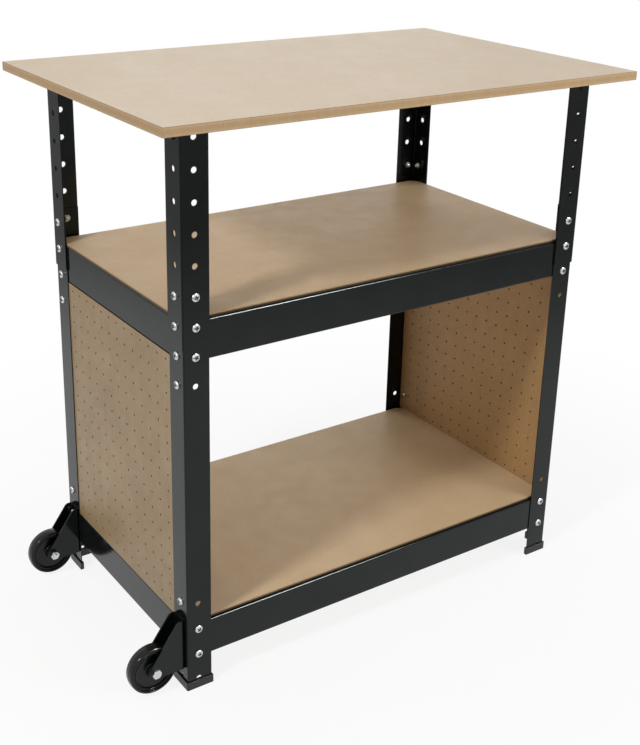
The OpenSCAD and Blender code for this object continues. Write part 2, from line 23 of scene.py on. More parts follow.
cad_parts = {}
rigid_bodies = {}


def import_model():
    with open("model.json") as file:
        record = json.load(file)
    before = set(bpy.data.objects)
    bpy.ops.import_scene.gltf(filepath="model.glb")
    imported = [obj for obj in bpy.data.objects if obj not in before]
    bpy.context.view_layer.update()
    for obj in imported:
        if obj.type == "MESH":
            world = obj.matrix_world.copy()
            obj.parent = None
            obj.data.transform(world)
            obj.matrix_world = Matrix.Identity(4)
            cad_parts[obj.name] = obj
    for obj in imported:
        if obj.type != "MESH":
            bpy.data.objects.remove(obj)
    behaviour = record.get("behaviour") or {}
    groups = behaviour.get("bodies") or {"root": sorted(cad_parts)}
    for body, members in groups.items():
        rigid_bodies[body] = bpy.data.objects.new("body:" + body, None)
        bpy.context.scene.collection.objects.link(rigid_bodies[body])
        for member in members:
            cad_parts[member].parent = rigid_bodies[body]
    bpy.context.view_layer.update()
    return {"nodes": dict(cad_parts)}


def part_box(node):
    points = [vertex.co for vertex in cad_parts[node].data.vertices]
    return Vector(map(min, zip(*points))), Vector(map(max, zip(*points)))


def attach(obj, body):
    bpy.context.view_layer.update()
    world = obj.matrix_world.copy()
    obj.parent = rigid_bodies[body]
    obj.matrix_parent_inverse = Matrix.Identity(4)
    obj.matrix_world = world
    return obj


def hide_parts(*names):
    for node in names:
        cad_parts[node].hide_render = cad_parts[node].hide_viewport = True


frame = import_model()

Socket = bpy.types.NodeSocket
Tree = bpy.types.NodeTree
Object = bpy.types.Object
Pair = tuple[float, float]
Triple = tuple[float, float, float]

MM = 0.001
MERGE = 0.002 * MM
SHARP = 35.0
NUT_SHARP = 25.0
EVEN: Triple = (1, 1, 1)
WHITE = (1, 1, 1, 1)
PALE = (0.94, 0.94, 0.94, 1)
MIDDLE = Vector((0, 0, 0.45))
LOG = logging.getLogger("service_cart")


class Body(str, Enum):
    """The bodies that pieces ride on."""

    CART = "cart"
    FRONT_WHEEL = "front_wheel"
    BACK_WHEEL = "back_wheel"


class Slot(str, Enum):
    """The record's material slots."""

    TOP = "top_fibreboard"
    SHELF = "shelf_fibreboard"
    PEGBOARD = "pegboard"
    STEEL = "black_steel"
    CAP = "black_plastic"
    WHEEL = "wheel_plastic"
    ZINC = "zinc_steel"
    BLACK_BOLT = "black_bolt"


class Side(Enum):
    """The cart's two short ends; the wheels are at the left."""

    LEFT = -1
    RIGHT = 1


class End(Enum):
    """The cart's two long faces."""

    FRONT = -1
    BACK = 1


class Leg(Enum):
    """The two legs of a corner post: one on a long face, one on a short end."""

    LONG = "long"
    SHORT = "short"


class Role(Enum):
    """What a lamp is for."""

    LIGHT = "light"
    REFLECTION = "reflection"
    BOTH = "both"


@dataclass(frozen=True)
class CartPlan:
    """The frame's sizes in millimetres, as in the part's source."""

    frame_l: float = 714.0
    frame_d: float = 412.0
    frame_x: float = 17.25
    hole_pitch: float = 42.5
    first_hole_z: float = 15.0
    hole_line: float = 18.0
    post_t: float = 1.5
    beam_t: float = 1.2
    peg_t: float = 4.0
    fork_t: float = 2.0
    bracket_t: float = 2.0
    lower_row: int = 1
    upper_row: int = 12
    top_row: int = 19
    under_top_z: float = 837.5
    nut_flats: float = 10.0
    nut_h: float = 5.0
    nut_bore_r: float = 3.05
    screw_in: float = 23.5
    screw_gap: float = 16.0

    def row_z(self, row: int) -> float:
        """Returns the height of a row of holes."""
        return self.first_hole_z + row * self.hole_pitch


PLAN = CartPlan()


# Node trees and colours


def linear(colour: str) -> tuple[float, float, float, float]:
    """Turns an sRGB hex colour into linear red, green, blue and alpha."""
    parts = [int(colour[i:i + 2], 16) / 255 for i in (1, 3, 5)]
    return (*(p / 12.92 if p <= 0.04045 else ((p + 0.055) / 1.055) ** 2.4 for p in parts), 1.0)


def add(tree: Tree, kind: str, inputs: dict | None = None, **settings: object) -> bpy.types.Node:
    """Adds one node to a tree.

    Args:
        tree: The node tree.
        kind: The node's type.
        inputs: Sockets by name or number, each with a value or with the output that feeds it.
        **settings: Properties of the node itself.

    Returns:
        The node.
    """
    node = tree.nodes.new(kind)
    for name, value in settings.items():
        setattr(node, name, value)
    for key, value in (inputs or {}).items():
        if isinstance(value, Socket):
            tree.links.new(value, node.inputs[key])
        else:
            node.inputs[key].default_value = value
    return node


def empty_tree(owner: bpy.types.Material | bpy.types.World) -> Tree:
    """Returns the node tree of a material or a world, emptied."""
    owner.use_nodes = True
    owner.node_tree.nodes.clear()
    return owner.node_tree


def reckon(tree: Tree, how: str, *values: Socket | float) -> Socket:
    """Returns what a math node makes of one or two values."""
    return add(tree, "ShaderNodeMath", dict(enumerate(values)), operation=how).outputs[0]


def ramp(tree: Tree, value: Socket, span: Pair, to: Pair, how: str = "LINEAR") -> Socket:
    """Returns a value that runs over one span, carried over to another one."""
    return add(tree, "ShaderNodeMapRange", {
        "Value": value, "From Min": span[0], "From Max": span[1], "To Min": to[0], "To Max": to[1]},
        interpolation_type=how).outputs["Result"]


@dataclass
class Mixer:
    """A material's node tree and its shader, with the patterns that the finishes share."""

    tree: Tree
    shader: bpy.types.Node

    def place(self, stretch: Triple = EVEN) -> Socket:
        """Returns Object coordinates; a factor below 1 draws a pattern out along its axis."""
        where = add(self.tree, "ShaderNodeTexCoord").outputs["Object"]
        return add(self.tree, "ShaderNodeMapping", {"Vector": where, "Scale": stretch}).outputs["Vector"]

    def pattern(self, kind: str, size_mm: float, stretch: Triple, **inputs: float) -> bpy.types.Node:
        """Returns a texture whose features are about size_mm across."""
        return add(self.tree, kind, {"Vector": self.place(stretch), "Scale": 1.0 / (size_mm * MM), **inputs})

    def noise(self, size_mm: float, detail: float = 2.0, stretch: Triple = EVEN) -> Socket:
        """Returns a noise value."""
        return self.pattern("ShaderNodeTexNoise", size_mm, stretch, Detail=detail).outputs["Fac"]

    def cells(self, size_mm: float, stretch: Triple = EVEN) -> Socket:
        """Returns the distance to the nearest of many scattered points."""
        return self.pattern("ShaderNodeTexVoronoi", size_mm, stretch).outputs["Distance"]

    def tint(self, value: Socket, base: object, other: str, share: float, start: float = 0.3,
             end: float = 0.7) -> Socket:
        """Returns base mixed with a share of another colour, as a pattern runs from start to end."""
        return add(self.tree, "ShaderNodeMix", {
            0: ramp(self.tree, value, (start, end), (0.0, share)), 6: base, 7: linear(other)},
            data_type="RGBA").outputs[2]

    def paint(self, colour: Socket) -> None:
        """Feeds the shader's colour."""
        self.tree.links.new(colour, self.shader.inputs["Base Color"])

    def polish(self, size_mm: float, detail: float, low: float, high: float) -> None:
        """Lets the shader's roughness wander from low to high in patches about size_mm across."""
        value = ramp(self.tree, self.noise(size_mm, detail), (0.3, 0.7), (low, high))
        self.tree.links.new(value, self.shader.inputs["Roughness"])

    def relief(self, height: Socket, strength: float, depth_mm: float) -> None:
        """Feeds the shader's normal from a pattern, as heights up to depth_mm."""
        bump = add(self.tree, "ShaderNodeBump", {
            "Height": height, "Strength": strength, "Distance": depth_mm * MM})
        self.tree.links.new(bump.outputs["Normal"], self.shader.inputs["Normal"])


# Finishes


@dataclass(frozen=True)
class Finish:
    """A surface finish, made into one shared material; colour and roughness are those before any pattern."""

    name: str
    colour: str
    roughness: float
    ior: float = 1.5
    metallic: float = 0.0

    def material(self) -> bpy.types.Material:
        """Returns the material, and makes it the first time."""
        known = bpy.data.materials.get(self.name)
        if known:
            return known
        made = bpy.data.materials.new(self.name)
        tree = empty_tree(made)
        shader = add(tree, "ShaderNodeBsdfPrincipled", {
            "Base Color": linear(self.colour), "Roughness": self.roughness,
            "IOR": self.ior, "Metallic": self.metallic})
        add(tree, "ShaderNodeOutputMaterial", {"Surface": shader.outputs["BSDF"]})
        self.shade(Mixer(tree, shader))
        return made

    def shade(self, mix: Mixer) -> None:
        """Adds this finish's patterns to the shader."""
        raise NotImplementedError


@dataclass(frozen=True)
class PowderCoat(Finish):
    """Baked black powder coat on sheet steel: a near-black skin with a wet gloss and a faint orange peel."""

    shine: tuple[float, float, float, float] = (0.90, 1.0, 0.97, 1.0)
    peel_mm: float = 3.0

    def shade(self, mix: Mixer) -> None:
        """Adds a green cast to the shine, a faint bloom to the colour, uneven gloss and the orange peel."""
        mix.shader.inputs["Specular Tint"].default_value = self.shine
        mix.paint(mix.tint(mix.noise(55, 3), linear(self.colour), "#17191a", 0.4))
        mix.polish(9, 3, self.roughness - 0.03, self.roughness + 0.03)
        mix.relief(mix.noise(self.peel_mm, 1), 0.05, 0.02)


@dataclass(frozen=True)
class SandedFibreboard(Finish):
    """Sanded face of a dry-process fibreboard: pale felt of short fibres with a few dark flecks."""

    dark: str = "#a58c68"
    pale: str = "#e2d5bf"
    fleck: str = "#7a5f3f"
    fibre_mm: float = 1.1

    def shade(self, mix: Mixer) -> None:
        """Adds clouds, crossed fibres, dark flecks, an uneven sheen and a felted skin."""
        colour = mix.tint(mix.noise(70, 3), linear(self.colour), self.pale, 0.30)
        along = mix.noise(self.fibre_mm, 3, (0.25, 1, 1))
        across = mix.noise(self.fibre_mm, 3, (1, 0.25, 1))
        colour = mix.tint(along, colour, self.dark, 0.24, 0.48, 0.72)
        colour = mix.tint(across, colour, self.pale, 0.24, 0.50, 0.72)
        mix.paint(mix.tint(mix.cells(7, (0.5, 0.8, 1)), colour, self.fleck, 0.5, 0.09, 0.05))
        mix.polish(24, 2, self.roughness - 0.05, self.roughness + 0.07)
        mix.relief(along, 0.25, 0.03)


@dataclass(frozen=True)
class SawnEdge(Finish):
    """Sawn edge of a fibreboard: browner than the faces, dense at both skins and looser in the core.

    Attributes:
        low_z: Height of the board's underside; high_z is that of its upper face.
        painted_gap_shade: Share of black painted as shade in the lower half, where a shelf's edge lies behind
            a beam's bend.
        tooth_mm: Width of the saw teeth's marks.
    """

    low_z: float = 0.0
    high_z: float = 1.0
    painted_gap_shade: float = 0.0
    skin: str = "#7d6444"
    core: str = "#9b7f5b"
    tooth_mm: float = 2.2

    def shade(self, mix: Mixer) -> None:
        """Adds the layers by height, upright marks of the saw's teeth, pale chips and a painted shade in the
        lower half.
        """
        height = add(mix.tree, "ShaderNodeSeparateXYZ", {"Vector": mix.place()}).outputs["Z"]
        half = (self.high_z - self.low_z) / 2 * MM
        off = reckon(mix.tree, "SUBTRACT", height, (self.low_z + self.high_z) / 2 * MM)
        away = reckon(mix.tree, "ABSOLUTE", off)
        colour = mix.tint(away, linear(self.colour), self.core, 0.7, half * 0.95, half * 0.35)
        colour = mix.tint(away, colour, self.skin, 0.75, half * 0.84, half * 0.93)
        teeth = mix.noise(self.tooth_mm, 3, (1, 1, 0.08))
        colour = mix.tint(teeth, colour, "#85694a", 0.22, 0.45, 0.75)
        colour = mix.tint(mix.cells(4), colour, "#dccbb0", 0.4, 0.17, 0.09)
        # Painted shade: the edge's lower half turns near-black where it lies behind a beam's bend.
        if self.painted_gap_shade:
            colour = mix.tint(off, colour, "#14110e", self.painted_gap_shade, half * 0.55, half * 0.15)
        mix.paint(colour)
        mix.relief(teeth, 0.5, 0.12)


@dataclass(frozen=True)
class PressedHardboard(Finish):
    """Oil-tempered hardboard: warm brown with fine mottling, polished on its smooth side."""

    dark: str = "#6b5236"
    pale: str = "#b39a74"

    def shade(self, mix: Mixer) -> None:
        """Adds clouds, mottling, fine fibres and an uneven polish."""
        colour = mix.tint(mix.noise(90, 2), linear(self.colour), self.pale, 0.22)
        colour = mix.tint(mix.noise(6, 4), colour, self.dark, 0.20, 0.42, 0.75)
        fibres = mix.noise(1.2, 3, (1, 0.35, 1))
        mix.paint(mix.tint(fibres, colour, self.dark, 0.22, 0.5, 0.75))
        mix.polish(18, 3, self.roughness - 0.05, self.roughness + 0.08)
        mix.relief(fibres, 0.2, 0.02)


@dataclass(frozen=True)
class PunchedWall(Finish):
    """Wall of a punched peg hole: torn dark fibre without polish."""

    def shade(self, mix: Mixer) -> None:
        """Adds torn fibre round the wall."""
        torn = mix.noise(0.5, 3)
        mix.paint(mix.tint(torn, linear(self.colour), "#21170d", 0.6))
        mix.relief(torn, 0.6, 0.1)


@dataclass(frozen=True)
class MouldedPlastic(Finish):
    """Injection-moulded black plastic: an even skin with a soft gloss and a fine spark-eroded grain."""

    grain: float = 0.2
    grain_mm: float = 0.7

    def shade(self, mix: Mixer) -> None:
        """Adds flow marks to the colour and the gloss, and the mould's grain."""
        mix.paint(mix.tint(mix.noise(14, 2), linear(self.colour), "#131415", 0.3))
        mix.polish(5, 3, self.roughness - 0.05, self.roughness + 0.07)
        mix.relief(mix.noise(self.grain_mm, 2), self.grain, 0.02)


@dataclass(frozen=True)
class PlatedSteel(Finish):
    """Electroplated steel, bright zinc or black: metal with a thin, slightly clouded plate."""

    cloud: str = "#bcc0c1"

    def shade(self, mix: Mixer) -> None:
        """Adds the plate's clouds and drawn-wire marks."""
        mix.paint(mix.tint(mix.noise(3, 3), linear(self.colour), self.cloud, 0.6))
        mix.polish(1.5, 3, self.roughness - 0.06, self.roughness + 0.10)
        mix.relief(mix.noise(0.6, 2), 0.15, 0.02)


# The posts' and beams' deep gloss, which mirrors the floor as grey on black
BLACK_COAT = PowderCoat("gloss_black_powder_coat", "#090b0a", 0.13, ior=1.34)
# The boards' dry pale faces. The shelves are browner than the top, partly their own colour and partly painted
# shade from the top above them. The upper shelf is painted darker and the lower one lighter, as painted shade
# and painted light on one kind of board.
TOP_FACE = SandedFibreboard("sanded_fibreboard_top", "#ddc8ad", 0.50)
UPPER_SHELF_FACE_PAINTED_SHADE = SandedFibreboard(
    "sanded_fibreboard_upper_shelf", "#bba381", 0.52, dark="#997c56", pale="#d4be9e")
LOWER_SHELF_FACE_PAINTED_LIGHT = SandedFibreboard(
    "sanded_fibreboard_lower_shelf", "#cdb18a", 0.52, dark="#a5865e", pale="#e4cdaa")
# The panels: brown with a low polish outside, duller and redder inside, dark in the holes
PANEL_FACE = PressedHardboard("tempered_hardboard_smooth_side", "#88704e", 0.42)
PANEL_BACK = PressedHardboard(
    "tempered_hardboard_rough_side", "#9f7c50", 0.62, dark="#6b4d2b", pale="#b18f63")
PANEL_WALL = PunchedWall("punched_hardboard_wall", "#3d2c1a", 0.85)
# The wheels' wet-looking black, and the foot caps' duller one
WHEEL_BLACK = MouldedPlastic("moulded_polypropylene_wheel", "#0b0c0c", 0.18, ior=1.34, grain=0.05)
CAP_BLACK = MouldedPlastic("moulded_polyethylene_cap", "#0f1011", 0.40, ior=1.45, grain=0.3)
# The bright points of the bolt heads, with crosses whose grey zinc is painted shade in the recess; the top
# bolts are black
BRIGHT_ZINC = PlatedSteel("bright_zinc_plated_steel", "#d0d1cf", 0.22, metallic=1.0)
RECESS_PAINTED_SHADE_ZINC = PlatedSteel("zinc_with_painted_shade_in_the_recess", "#66696a", 0.45, metallic=1.0, cloud="#484a4b")
BLACK_OXIDE = PlatedSteel("black_oxide_steel", "#1c1d1f", 0.35, metallic=1.0, cloud="#2c2e31")


# Surfaces


@dataclass
class Shape:
    """A surface in whole arrays.

    Attributes:
        points: Corners in millimetres, one row each.
        quads: The four corners of each face.
        tags: Material slot of each face.
        caps: Flat faces with more corners, which take material slot 0.
    """

    points: np.ndarray
    quads: np.ndarray
    tags: np.ndarray
    caps: Sequence[np.ndarray] = ()

    @staticmethod
    def joined(shapes: Sequence[Shape]) -> Shape:
        """Returns several surfaces without caps as one."""
        starts = np.cumsum([0] + [len(s.points) for s in shapes[:-1]])
        return Shape(np.concatenate([s.points for s in shapes]),
                     np.concatenate([s.quads + n for s, n in zip(shapes, starts)]),
                     np.concatenate([s.tags for s in shapes]))


def grid(points: np.ndarray, closed: bool = True, tags: np.ndarray | int = 0) -> Shape:
    """Makes a surface from a grid of points.

    Args:
        points: Array of rows x columns x 3.
        closed: True where the last column meets the first.
        tags: Material slot of each face or of each band between two rows, or one for all.

    Returns:
        The surface.
    """
    rows, columns = points.shape[:2]
    across = columns if closed else columns - 1
    row, column = np.meshgrid(np.arange(rows - 1), np.arange(across), indexing="ij")
    beside = (column + 1) % columns
    quads = np.stack([row * columns + column, row * columns + beside,
                      (row + 1) * columns + beside, (row + 1) * columns + column], -1)
    tags = np.asarray(tags)
    bands = np.broadcast_to(tags if tags.ndim == 2 else tags.reshape(-1, 1), (rows - 1, across))
    return Shape(points.reshape(-1, 3), quads.reshape(-1, 4), bands.reshape(-1).astype(int))


def turned(profile: np.ndarray, steps: int) -> Shape:
    """Turns a profile about Z: each point (r, z) runs round as (r cos t, r sin t, z).

    Args:
        profile: Radius and height of each point; a radius of 0 closes the surface.
        steps: Number of points round.

    Returns:
        The surface.
    """
    turn = np.arange(steps) * 2 * np.pi / steps
    r, z = profile[:, :1], profile[:, 1:]
    return grid(np.stack([r * np.cos(turn), r * np.sin(turn), z + 0 * turn], -1))


def arc(centre: Pair, r: float, start: float, end: float, steps: int = 4) -> np.ndarray:
    """Returns points round a circle: centre + r (cos t, sin t), with t from start to end in degrees."""
    t = np.radians(np.linspace(start, end, steps + 1))
    return np.stack([centre[0] + r * np.cos(t), centre[1] + r * np.sin(t)], -1)


def tidied(mesh: bpy.types.Mesh, join_flats: bool) -> None:
    """Merges a mesh's doubles and either joins its flat faces or turns its faces outwards.

    Args:
        mesh: The mesh.
        join_flats: True to join the faces that lie in one plane.
    """
    work = bmesh.new()
    work.from_mesh(mesh)
    bmesh.ops.remove_doubles(work, verts=work.verts, dist=MERGE)
    if join_flats:
        bmesh.ops.dissolve_limit(work, angle_limit=math.radians(0.5), verts=work.verts, edges=work.edges)
    else:
        bmesh.ops.recalc_face_normals(work, faces=work.faces)
    work.to_mesh(mesh)
    work.free()


def mesh_object(name: str, shape: Shape, finishes: Sequence[Finish], sharp: float = SHARP) -> Object:
    """Puts a surface into a mesh object at the origin.

    Args:
        name: The object's name.
        shape: The surface.
        finishes: A finish for each material slot.
        sharp: Angle in degrees above which an edge stays sharp.

    Returns:
        The object, linked to the scene.
    """
    mesh = bpy.data.meshes.new(name)
    faces = shape.quads.tolist() + [cap.tolist() for cap in shape.caps]
    mesh.from_pydata((shape.points * MM).tolist(), [], faces)
    for finish in finishes:
        mesh.materials.append(finish.material())
    mesh.polygons.foreach_set("material_index", shape.tags.tolist() + [0] * len(shape.caps))
    tidied(mesh, join_flats=False)
    mesh.validate()
    mesh.polygons.foreach_set("use_smooth", [len(face.vertices) <= 4 for face in mesh.polygons])
    mesh.set_sharp_from_angle(angle=math.radians(sharp))
    return in_scene(name, mesh)


def in_scene(name: str, data: bpy.types.ID) -> Object:
    """Returns an object with some data, linked to the scene."""
    made = bpy.data.objects.new(name, data)
    bpy.context.scene.collection.objects.link(made)
    return made


def settle(piece: Object, body: Body, slot: Slot, *nodes: str) -> None:
    """Lets a piece ride on its body and stand for its CAD nodes, which it hides, and reports it.

    Args:
        piece: The object.
        body: The body that it moves with.
        slot: The record's material slot; not used.
        *nodes: The CAD nodes that it stands for.
    """
    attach(piece, body.value)
    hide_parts(*nodes)
    LOG.info("%s: %d faces on %s", piece.name, len(piece.data.polygons), body.value)


# Boards


def rounded_outline(corners: np.ndarray, r: float, inset: float, steps: int = 5) -> np.ndarray:
    """Rounds a convex outline's corners and draws it in.

    At each corner an arc runs from one edge's outward normal n1 to the next one's, n2, about
    corner - (radius + inset) (n1 + n2) / (1 + n1 . n2). Its radius is r - inset, and never quite nothing.

    Args:
        corners: The corners, counter-clockwise.
        r: Corner radius.
        inset: How far the outline is drawn in.
        steps: Arc steps at each corner.

    Returns:
        The points.
    """
    run = np.roll(corners, -1, 0) - corners
    run /= np.linalg.norm(run, axis=1, keepdims=True)
    after = np.stack([run[:, 1], -run[:, 0]], -1)
    before = np.roll(after, 1, 0)
    tight, cosine = max(r - inset, 0.05), np.sum(before * after, 1)
    centre = corners - (tight + inset) * (before + after) / (1 + cosine[:, None])
    start = np.arctan2(before[:, 1], before[:, 0])
    turn = np.arctan2(before[:, 0] * after[:, 1] - before[:, 1] * after[:, 0], cosine)
    t = start[:, None] + turn[:, None] * np.linspace(0, 1, steps + 1)
    return np.repeat(centre, steps + 1, 0) + tight * np.stack([np.cos(t), np.sin(t)], -1).reshape(-1, 2)


@dataclass
class Board:
    """A flat board with eased edges.

    Attributes:
        corner_r: Corner radius seen from above.
        painted_gap_shade: Share of black in the lower half of the edge, painted shade where the edge lies
            behind a beam's bend.
        clip: Leg of the clipped corners, or 0.
        flat: Width of the flat ring that keeps the easing's shade off the faces.
    """

    node: str
    face: Finish
    slot: Slot
    corner_r: float
    edge: str = "#b39876"
    painted_gap_shade: float = 0.0
    clip: float = 0.0
    ease: float = 0.35
    flat: float = 2.0

    def build(self) -> None:
        """Builds the board: its outline is carried up a side profile of inset and height with eased edges."""
        low, high = (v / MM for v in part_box(self.node))
        c, e, x0, y0, x1, y1 = self.clip, self.ease, low.x, low.y, high.x, high.y
        corners = np.array([(x0 + c, y0), (x1 - c, y0), (x1, y0 + c), (x1, y1 - c),
                            (x1 - c, y1), (x0 + c, y1), (x0, y1 - c), (x0, y0 + c)])[::1 if c else 2]
        side = np.concatenate([
            [(e + self.flat, low.z)], arc((e, low.z + e), e, 270, 180),
            arc((e, high.z - e), e, 180, 90), [(e + self.flat, high.z)]])
        outlines = np.stack([rounded_outline(corners, self.corner_r, inset) for inset in side[:, 0]])
        columns = outlines.shape[1]
        height = side[:, 1, None, None] + 0 * outlines[..., :1]
        shape = grid(np.concatenate([outlines, height], -1), tags=np.array([0] + [1] * (len(side) - 3) + [0]))
        shape.caps = [np.arange(columns)[::-1], (len(side) - 1) * columns + np.arange(columns)]
        edge = SawnEdge(f"sawn_edge_{self.node}", self.edge, 0.75, low_z=low.z, high_z=high.z, painted_gap_shade=self.painted_gap_shade)
        settle(mesh_object(f"eased_{self.node}", shape, [self.face, edge]), Body.CART, self.slot, self.node)


# Pegboards


@dataclass
class Pegboard:
    """A perforated hardboard panel.

    Attributes:
        side: The end of the cart that its smooth side faces.
        start: Height of the lowest row of holes above the lower edge.
        rim: Size of the eased rim that the punch leaves.
        margin: Least distance from a hole's middle to the other edges.
        steps: Points on each side of a hole's cell.
    """

    node: str
    side: Side
    start: float
    pitch: float = 25.4
    hole_d: float = 3.2
    rim: float = 0.35
    margin: float = 5.0
    steps: int = 3

    def build(self) -> None:
        """Builds the panel.

        Each hole has a square cell. Its surface is a grid that runs from the cell's border on one face in
        to the rim, through the hole and out to the border on the other face.
        """
        low, high = (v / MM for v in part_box(self.node))
        columns = math.floor(((high.y - low.y) / 2 - self.margin) / self.pitch)
        rows = math.floor((high.z - low.z - self.start - self.margin) / self.pitch)
        y = np.arange(-columns, columns + 1) * self.pitch
        z = low.z + self.start + np.arange(rows + 1) * self.pitch
        r, ticks, ones = self.hole_d / 2, np.arange(self.steps) / self.steps * 2 - 1, np.ones(self.steps)
        border = self.pitch / 2 * np.concatenate([np.stack(side, -1) for side in (
            (ones, ticks), (-ticks, ones), (-ones, -ticks), (ticks, -ones))])
        ray = border / np.linalg.norm(border, axis=1, keepdims=True)
        rings = np.stack([border, ray * (r + self.rim), ray * r, ray * r, ray * (r + self.rim), border])
        depth = np.array([low.x, low.x, low.x + self.rim, high.x - self.rim, high.x, high.x])
        flat = np.stack(np.meshgrid(y, z, indexing="ij"), -1).reshape(-1, 1, 1, 2) + rings
        cells = np.concatenate([np.broadcast_to(depth[None, :, None, None], flat.shape[:3] + (1,)), flat], -1)
        tags = np.array([0, 2, 1] if self.side is Side.LEFT else [1, 2, 0])
        shapes = [grid(cell, tags=tags[[0, 0, 1, 2, 2]]) for cell in cells]
        shapes += self.strips(low, high, y, z, tags)
        finishes = [PANEL_FACE, PANEL_BACK, PANEL_WALL]
        piece = mesh_object(f"punched_{self.node}", Shape.joined(shapes), finishes)
        settle(piece, Body.CART, Slot.PEGBOARD, self.node)

    def strips(self, low: Vector, high: Vector, y: np.ndarray, z: np.ndarray,
               tags: np.ndarray) -> list[Shape]:
        """Returns the plain strips, which run from the cells over one face, the edge and the other face.

        Args:
            low: The panel's lowest corner.
            high: The panel's highest corner.
            y: The holes' positions along Y.
            z: The holes' heights.
            tags: Material slots of one face, the edge and the other face.

        Returns:
            The left, right, lower and upper strip.
        """
        half, x = self.pitch / 2, np.array([low.x, low.x, high.x, high.x])
        run_y, run_z = (np.linspace(v[0] - half, v[-1] + half, len(v) * self.steps + 1) for v in (y, z))
        all_y = np.concatenate([[low.y], run_y, [high.y]])
        made = []
        for along, inner, outer, order in (
                (run_z, run_y[0], low.y, (0, 1, 2)), (run_z, run_y[-1], high.y, (0, 1, 2)),
                (all_y, run_z[0], low.z, (0, 2, 1)), (all_y, run_z[-1], high.z, (0, 2, 1))):
            across = np.array([inner, outer, outer, inner])
            parts = np.broadcast_arrays(x[:, None], across[:, None], along[None])
            made.append(grid(np.stack([parts[k] for k in order], -1), False, tags))
        return made


# Folded steel and caps


@dataclass
class EasedSheet:
    """A piece of sheet or moulded work, whose coat or mould eases its cut edges by the width ease."""

    node: str
    ease: float = 0.35
    finish: Finish = BLACK_COAT
    slot: Slot = Slot.STEEL

    def build(self) -> None:
        """Builds the piece from a merged copy of the CAD solid.

        A live bevel eases its sharp edges, and normals weighted by area keep its flats flat beside bends.
        """
        mesh = frame["nodes"][self.node].data.copy()
        normals = mesh.attributes.get("custom_normal")
        if normals:
            mesh.attributes.remove(normals)
        tidied(mesh, join_flats=True)
        mesh.materials.clear()
        mesh.materials.append(self.finish.material())
        mesh.shade_smooth()
        piece = in_scene(f"eased_{self.node}", mesh)
        bevel = piece.modifiers.new("eased_edges", "BEVEL")
        bevel.width = self.ease * MM
        bevel.segments = 2
        bevel.limit_method = "ANGLE"
        bevel.angle_limit = math.radians(SHARP)
        piece.modifiers.new("flat_faces", "WEIGHTED_NORMAL").weight = 100
        settle(piece, Body.CART, self.slot, self.node)


# Fasteners


@dataclass
class Seats:
    """Where fasteners sit: each seat's middle, and the direction of its axis out of the cart."""

    centres: np.ndarray
    outward: np.ndarray

    @staticmethod
    def on_posts(rows: Sequence[int], out: float, legs: Sequence[Leg] = tuple(Leg),
                 left_more: float = 0.0) -> Seats:
        """Returns seats on all four corner posts.

        Args:
            rows: Rows of holes.
            out: Distance from the lower posts' outer faces.
            legs: Legs of the posts that have them.
            left_more: Added to out on the left end's short legs.

        Returns:
            The seats.
        """
        centres, outward = [], []
        half_l, half_d = PLAN.frame_l / 2, PLAN.frame_d / 2
        for side, end, row, leg in product(Side, End, rows, legs):
            s, e, z = side.value, end.value, PLAN.row_z(row)
            if leg is Leg.LONG:
                centres.append((s * (half_l - PLAN.hole_line), e * (half_d + out), z))
                outward.append((0, e, 0))
            else:
                away = out + (left_more if side is Side.LEFT else 0.0)
                centres.append((s * (half_l + away), e * (half_d - PLAN.hole_line), z))
                outward.append((s, 0, 0))
        return Seats(np.array(centres, float) + [PLAN.frame_x, 0, 0], np.array(outward, float))

    @staticmethod
    def under_top() -> Seats:
        """Returns the seats of the wood screws under the top board, two at each top bracket."""
        centres = [(PLAN.frame_x + side.value * (PLAN.frame_l / 2 - PLAN.screw_in),
                    end.value * (PLAN.frame_d / 2 - PLAN.hole_line + beside * PLAN.screw_gap / 2),
                    PLAN.under_top_z - PLAN.bracket_t) for side, end, beside in product(Side, End, (-1, 1))]
        return Seats(np.array(centres, float), np.tile([0.0, 0.0, -1.0], (len(centres), 1)))

    def together(self, other: Seats) -> Seats:
        """Returns these seats and another group's as one."""
        return Seats(np.concatenate([self.centres, other.centres]),
                     np.concatenate([self.outward, other.outward]))

    def place(self, one: Shape, turns: np.ndarray) -> Shape:
        """Puts a copy of a surface on every seat.

        A point (x, y, z) is turned about Z and goes to centre + x a + y b + z n, where n is the outward
        axis, b is up (or back, for an upright axis) and a = b x n.

        Args:
            one: The surface, with Z along its axis.
            turns: Angle of each copy about its axis, in radians.

        Returns:
            All copies as one surface.
        """
        n = self.outward
        b = np.where(np.abs(n[:, 2:]) > 0.5, [[0.0, 1.0, 0.0]], [[0.0, 0.0, 1.0]])
        a = np.cross(b, n)
        c, s = np.cos(turns)[:, None], np.sin(turns)[:, None]
        axes = np.stack([c * a + s * b, c * b - s * a, n], 1)
        return Shape.joined([Shape(one.points @ turn + centre, one.quads, one.tags)
                             for turn, centre in zip(axes, self.centres)])


